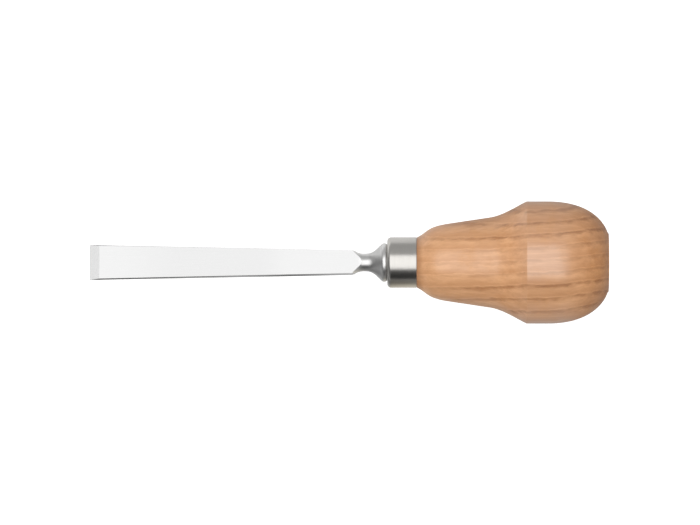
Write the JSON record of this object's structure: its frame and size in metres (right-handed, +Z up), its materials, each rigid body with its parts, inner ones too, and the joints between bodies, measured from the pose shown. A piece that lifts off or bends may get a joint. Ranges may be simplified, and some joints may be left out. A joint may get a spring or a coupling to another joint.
{
  "type": "chip carving chisel",
  "caption": "Short palm-held chip carving chisel with a tapered straight blade, flared bolster, steel ferrule and a turned ash handle with a domed palm end.",
  "frame": {"origin": "on the bench under the middle of the tool's length, with the tool lying on the heel of its lower cutting bevel and on the front arris of its palm band", "axes": "+X from the cutting edge towards the butt along the bench, +Z up, +Y across the blade; the tool's own axis rises 7.82 degrees towards +X"},
  "size_m": [0.1468, 0.0346, 0.0354],
  "materials": {
    "blade_steel": "ground and polished",
    "ferrule_steel": "satin turned",
    "ash": "satin lacquer"
  },
  "bodies": {
    "root": {"blade": "blade_steel", "ferrule": "ferrule_steel", "handle": "ash"}
  },
  "joints": []
}
